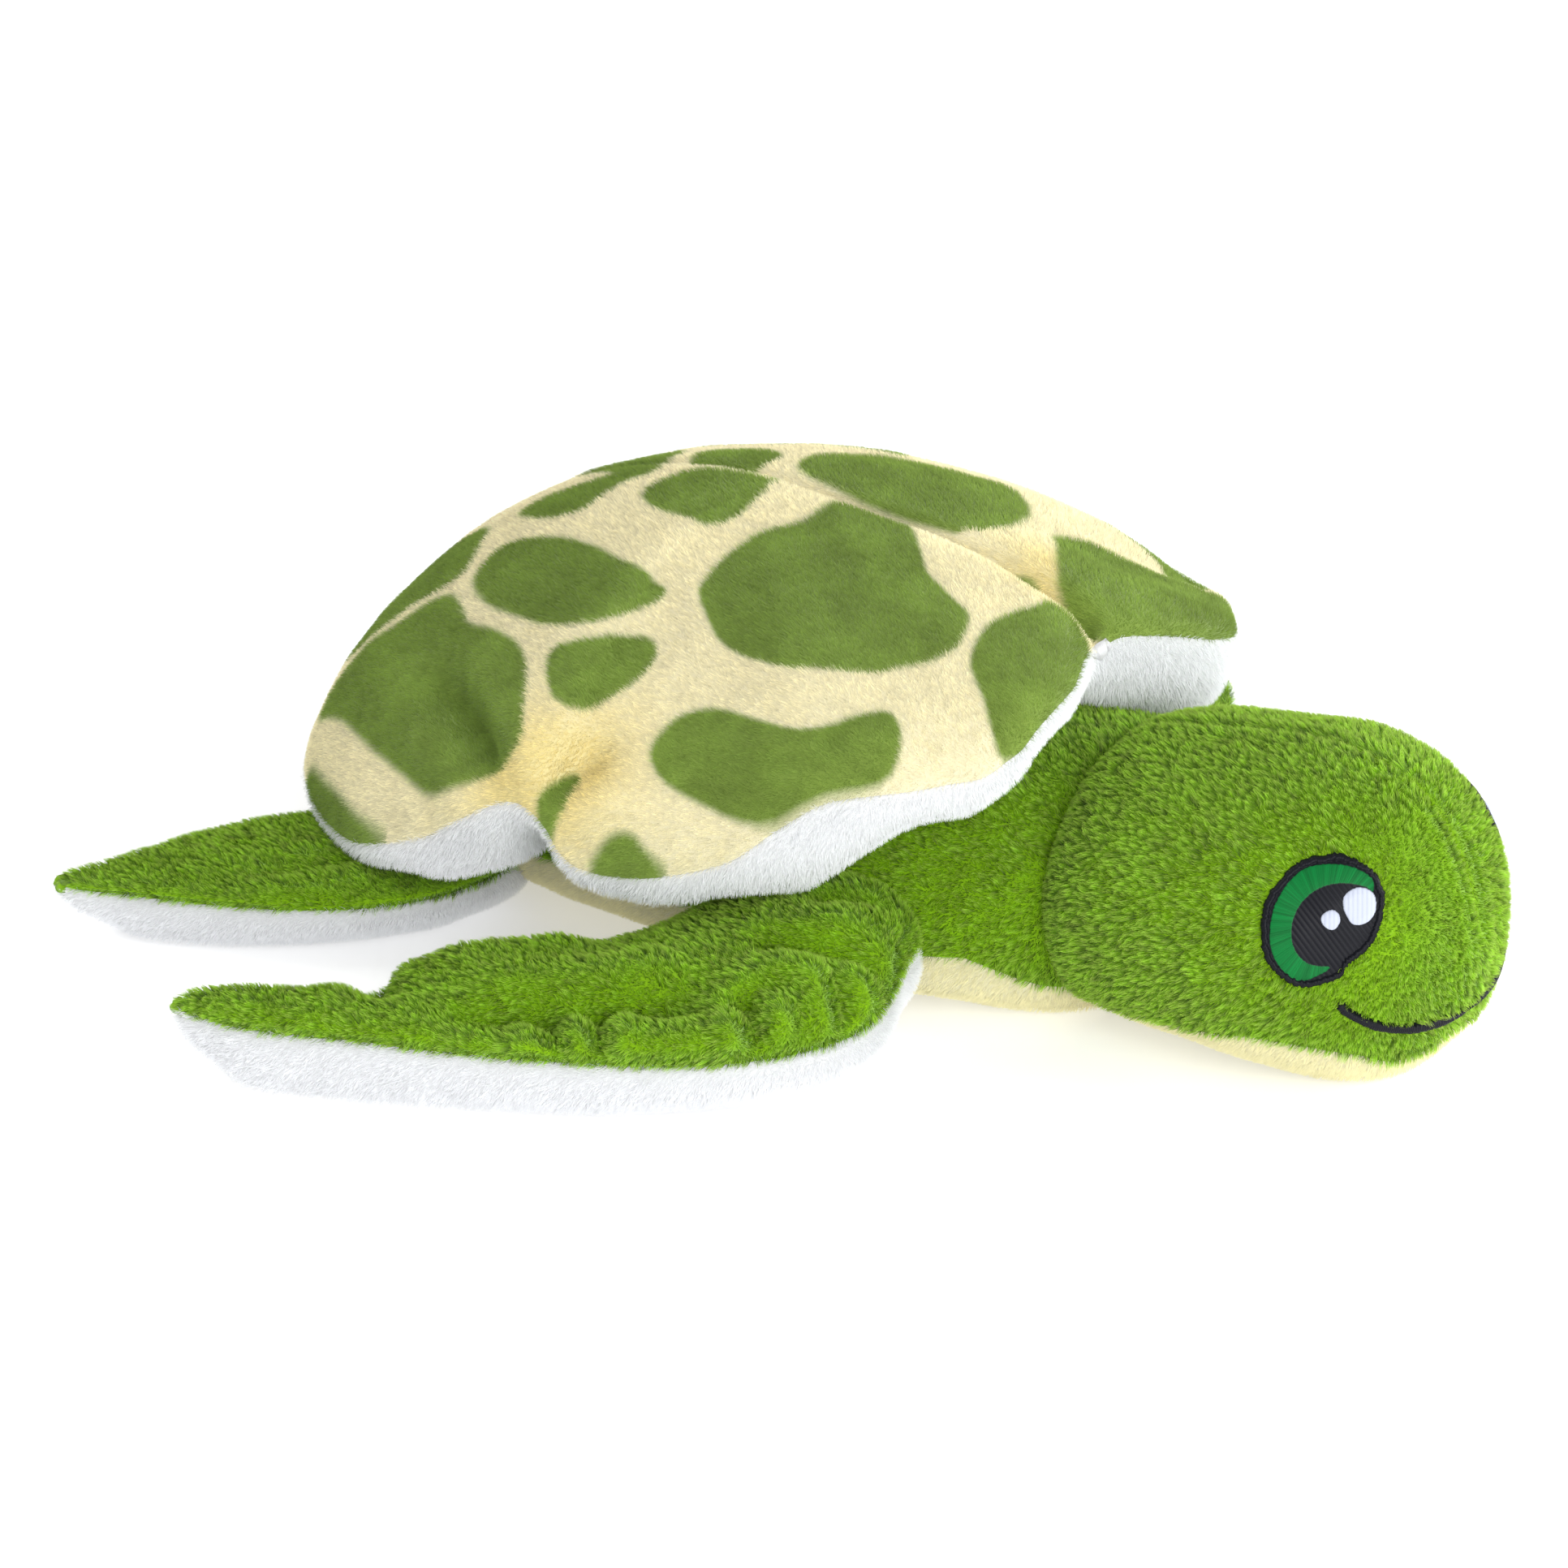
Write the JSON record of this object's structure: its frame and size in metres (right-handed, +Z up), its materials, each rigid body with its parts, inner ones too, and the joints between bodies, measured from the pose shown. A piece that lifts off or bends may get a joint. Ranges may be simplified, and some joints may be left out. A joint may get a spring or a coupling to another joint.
{
  "type": "plush turtle",
  "caption": "Soft plush sea turtle with a puffed printed shell, a stuffed head that turns and nods, and flippers that swing on their seams.",
  "frame": {"origin": "on the ground under the middle of the belly", "axes": "+Z up out of the shell, -Y the way the turtle faces, +X its left side"},
  "size_m": [0.2488, 0.2292, 0.075],
  "materials": {
    "green_plush": "short directional pile",
    "printed_plush": "short pile, cream with green patches",
    "white_plush": "short pile",
    "cream_plush": "short pile",
    "fibre_fill": "loose polyester fibre",
    "thread": "satin stitch"
  },
  "bodies": {
    "body": {"body_back": "green_plush", "belly": "cream_plush", "body_stuffing": "fibre_fill", "shell_top": "printed_plush", "shell_underside": "white_plush", "shell_stuffing": "fibre_fill"},
    "neck": {"neck_stuffing": "fibre_fill"},
    "head": {"head_left": "green_plush", "head_right": "green_plush", "head_chin": "cream_plush", "head_stuffing": "fibre_fill", "eye_left": "thread", "eye_right": "thread", "mouth": "thread"},
    "front_flipper_left": {"front_flipper_left_top": "green_plush", "front_flipper_left_underside": "white_plush", "front_flipper_left_stuffing": "fibre_fill"},
    "front_flipper_right": {"front_flipper_right_top": "green_plush", "front_flipper_right_underside": "white_plush", "front_flipper_right_stuffing": "fibre_fill"},
    "hind_flipper_left": {"hind_flipper_left_top": "green_plush", "hind_flipper_left_underside": "white_plush", "hind_flipper_left_stuffing": "fibre_fill"},
    "hind_flipper_right": {"hind_flipper_right_top": "green_plush", "hind_flipper_right_underside": "white_plush", "hind_flipper_right_stuffing": "fibre_fill"}
  },
  "joints": [
    {"name": "head_turn", "type": "hinge", "parent": "body", "child": "neck", "pos_m": [0, -0.07, 0.0245], "axis": [0, 0, 1], "range_deg": [-10, 10]},
    {"name": "head_nod", "type": "hinge", "parent": "neck", "child": "head", "pos_m": [0, -0.07, 0.0245], "axis": [1, 0, 0], "range_deg": [-8, 6]},
    {"name": "front_flipper_left_swing", "type": "hinge", "parent": "body", "child": "front_flipper_left", "pos_m": [0.0465, -0.04, 0.014], "axis": [0, -1, 0], "range_deg": [-45, 20]},
    {"name": "front_flipper_right_swing", "type": "hinge", "parent": "body", "child": "front_flipper_right", "pos_m": [-0.0465, -0.04, 0.014], "axis": [0, 1, 0], "range_deg": [-45, 20]},
    {"name": "hind_flipper_left_swing", "type": "hinge", "parent": "body", "child": "hind_flipper_left", "pos_m": [0.0425, 0.038, 0.0105], "axis": [0.4067, -0.9135, 0], "range_deg": [-45, 6]},
    {"name": "hind_flipper_right_swing", "type": "hinge", "parent": "body", "child": "hind_flipper_right", "pos_m": [-0.0425, 0.038, 0.0105], "axis": [0.4067, 0.9135, 0], "range_deg": [-45, 6]}
  ]
}
